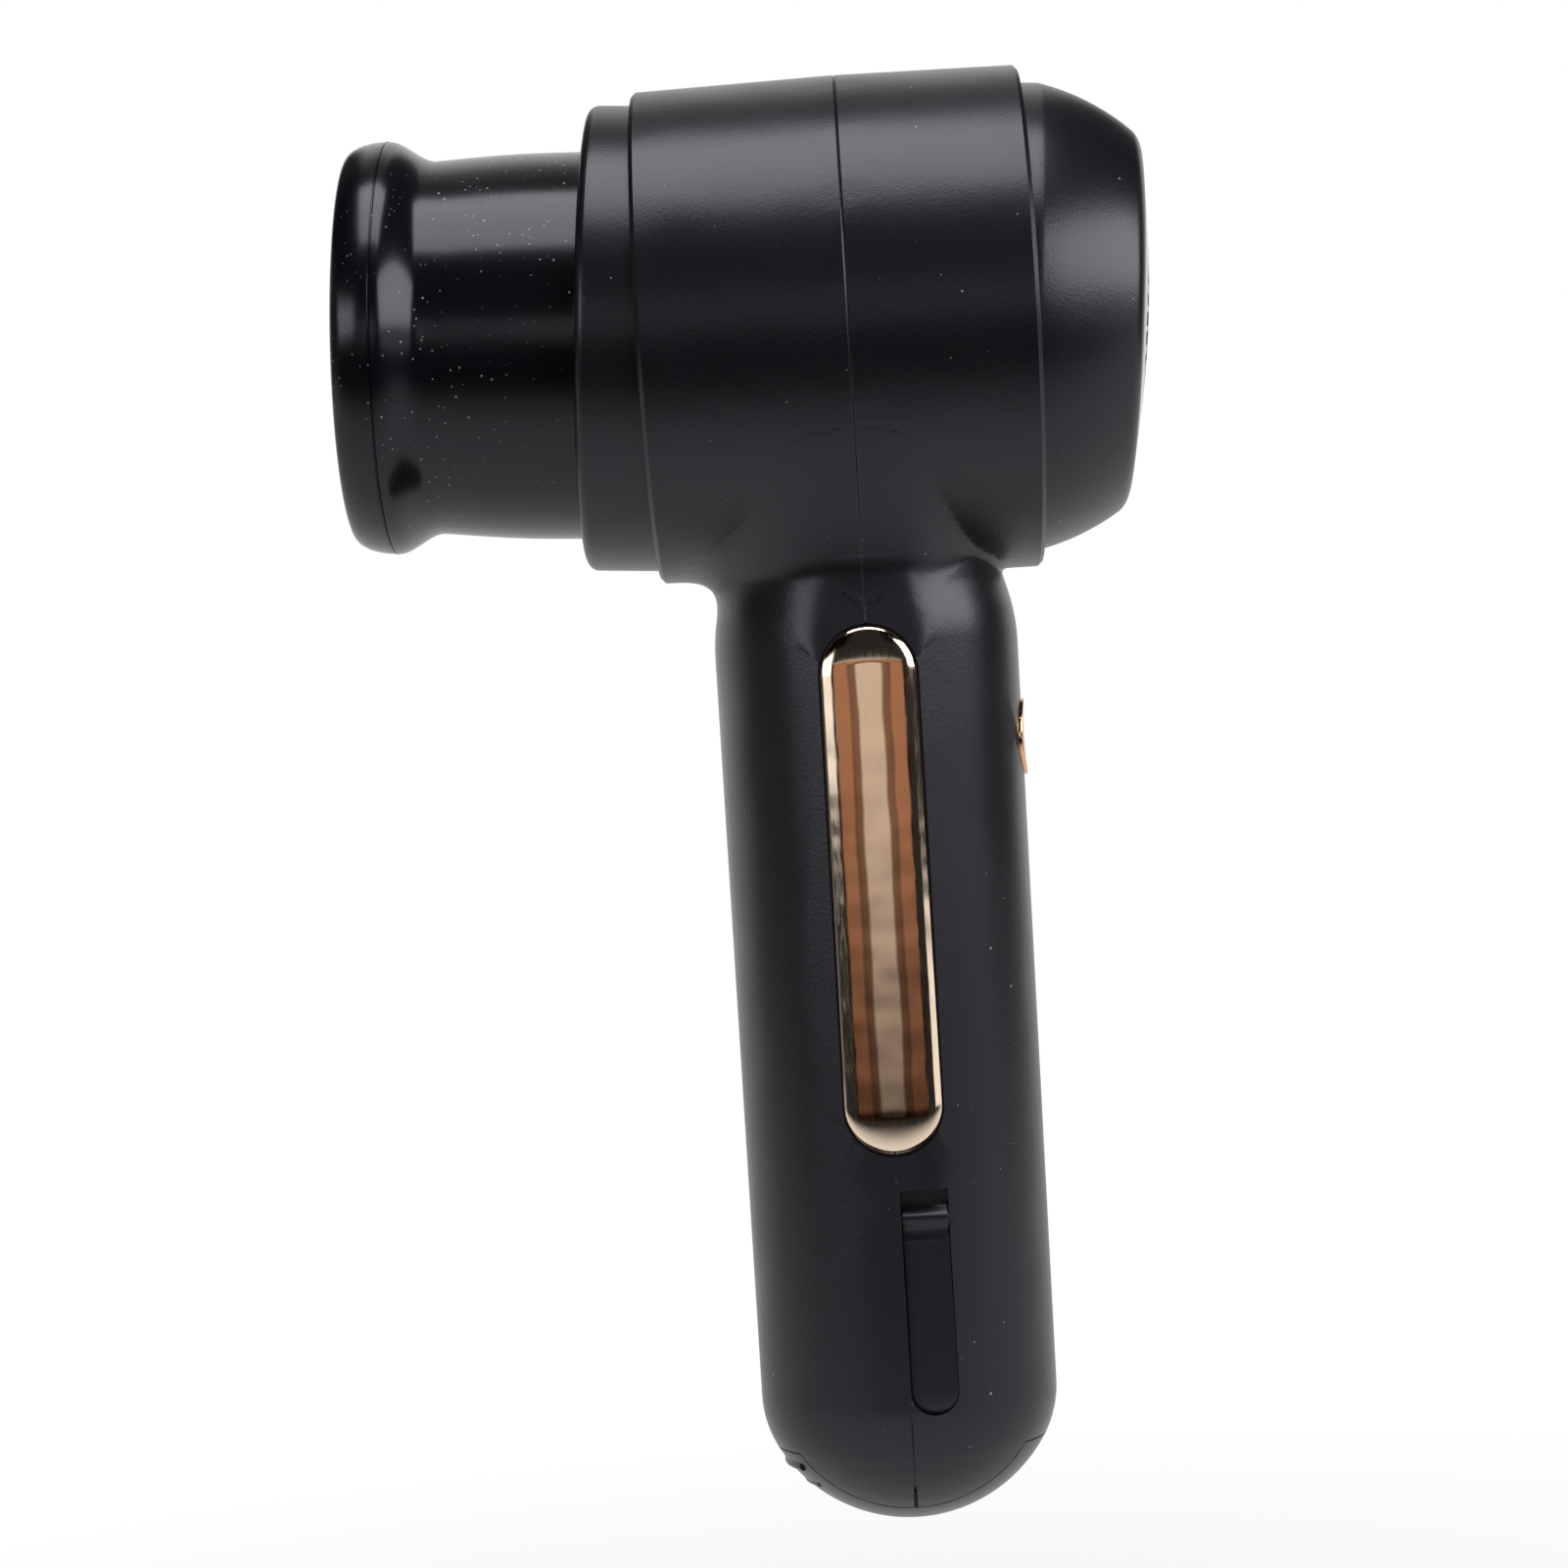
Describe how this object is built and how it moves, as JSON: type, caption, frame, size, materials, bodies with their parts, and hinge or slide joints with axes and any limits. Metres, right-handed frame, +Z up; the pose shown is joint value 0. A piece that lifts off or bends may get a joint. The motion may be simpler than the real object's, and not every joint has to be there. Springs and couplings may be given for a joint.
{
  "type": "car dryer blower",
  "caption": "Handheld cordless jet blower for drying cars, with a short barrel, an upright handle and a soft round nozzle.",
  "frame": {"origin": "centre of the hand grip, on the handle's axis in the plane where the housing halves meet", "axes": "+Z up along the handle towards the barrel, -X the way the air leaves, +Y across the handle to the side away from the charging port"},
  "size_m": [0.1163, 0.072, 0.2075],
  "materials": {
    "soft_black": "soft-touch matte paint",
    "gloss_black": "high gloss",
    "nozzle_rubber": "glossy moulded",
    "inner_black": "fine satin",
    "rose_gold": "polished plating",
    "screw_steel": "zinc plated",
    "switch_black": "moulded",
    "switch_metal": "tinned shell",
    "board_green": "solder mask",
    "cover_rubber": "matte",
    "socket_steel": "drawn shell",
    "nickel": "nickel strip",
    "sleeve_plastic": "moulded",
    "cell_wrap": "shrink sleeve",
    "chip_black": "moulded package",
    "capacitor_can": "sleeved can",
    "duct_plastic": "glass-filled moulding",
    "isolator_rubber": "matte",
    "mount_aluminium": "machined",
    "bearing_steel": "ground",
    "core_steel": "laminated",
    "winding_copper": "enamelled wire",
    "can_steel": "black-nickel plated",
    "magnet": "nickel plated",
    "impeller_aluminium": "machined",
    "wire_yellow": "silicone insulation",
    "wire_red": "silicone insulation"
  },
  "bodies": {
    "housing": {"front_shell": "soft_black", "rear_shell": "soft_black", "front_collar": "soft_black", "rear_dome": "soft_black", "intake_grille": "gloss_black", "outlet_duct": "inner_black", "trim_plate_left": "rose_gold", "trim_plate_right": "rose_gold", "side_screws": "screw_steel", "tact_switch": "switch_metal", "button_board": "board_green", "port_cover_root": "cover_rubber", "usb_c_socket": "socket_steel", "charge_board": "board_green", "battery_sleeve": "sleeve_plastic", "battery_cell_front": "cell_wrap", "battery_cell_rear": "cell_wrap", "cell_contacts": "nickel", "control_board": "board_green", "board_components": "chip_black", "filter_capacitor": "capacitor_can", "fan_duct": "duct_plastic", "isolator_front": "isolator_rubber", "isolator_rear": "isolator_rubber", "tail_cone": "duct_plastic", "motor_mount": "mount_aluminium", "motor_screws": "screw_steel", "bearing_front": "bearing_steel", "bearing_rear": "bearing_steel", "stator_core": "core_steel", "stator_windings": "winding_copper", "motor_leads": "wire_yellow", "battery_leads": "wire_red", "charge_leads": "wire_red", "button_leads": "wire_red"},
    "rotor": {"impeller": "impeller_aluminium", "impeller_nut": "bearing_steel", "spinner": "impeller_aluminium", "motor_can": "can_steel", "rotor_magnets": "magnet", "motor_shaft": "bearing_steel", "shaft_clip": "bearing_steel"},
    "button": {"power_button": "rose_gold", "switch_plunger": "switch_black"},
    "cover": {"port_cover": "cover_rubber"},
    "cap": {"bottom_cap": "soft_black", "bridge_contact": "nickel"},
    "nozzle": {"nozzle": "nozzle_rubber"}
  },
  "joints": [
    {"name": "fan_spin", "type": "hinge", "parent": "housing", "child": "rotor", "pos_m": [0, 0, 0.095], "axis": [1, 0, 0], "continuous": true},
    {"name": "button_press", "type": "slide", "parent": "housing", "child": "button", "axis": [-1, 0, 0], "range_m": [0, 0.0008], "stiffness_N_per_m": 1200, "springref_m": -0.0005},
    {"name": "cover_open", "type": "hinge", "parent": "housing", "child": "cover", "pos_m": [0.0035, -0.02009, -0.0522], "axis": [1, 0, 0], "range_deg": [0, 110], "stiffness_Nm_per_rad": 0.0004, "springref_deg": -8.59},
    {"name": "cap_pull", "type": "slide", "parent": "housing", "child": "cap", "axis": [0, 0, -1], "range_m": [0, 0.025]},
    {"name": "nozzle_pull", "type": "slide", "parent": "housing", "child": "nozzle", "axis": [-0.999, 0, 0.0454], "range_m": [0, 0.03]}
  ]
}
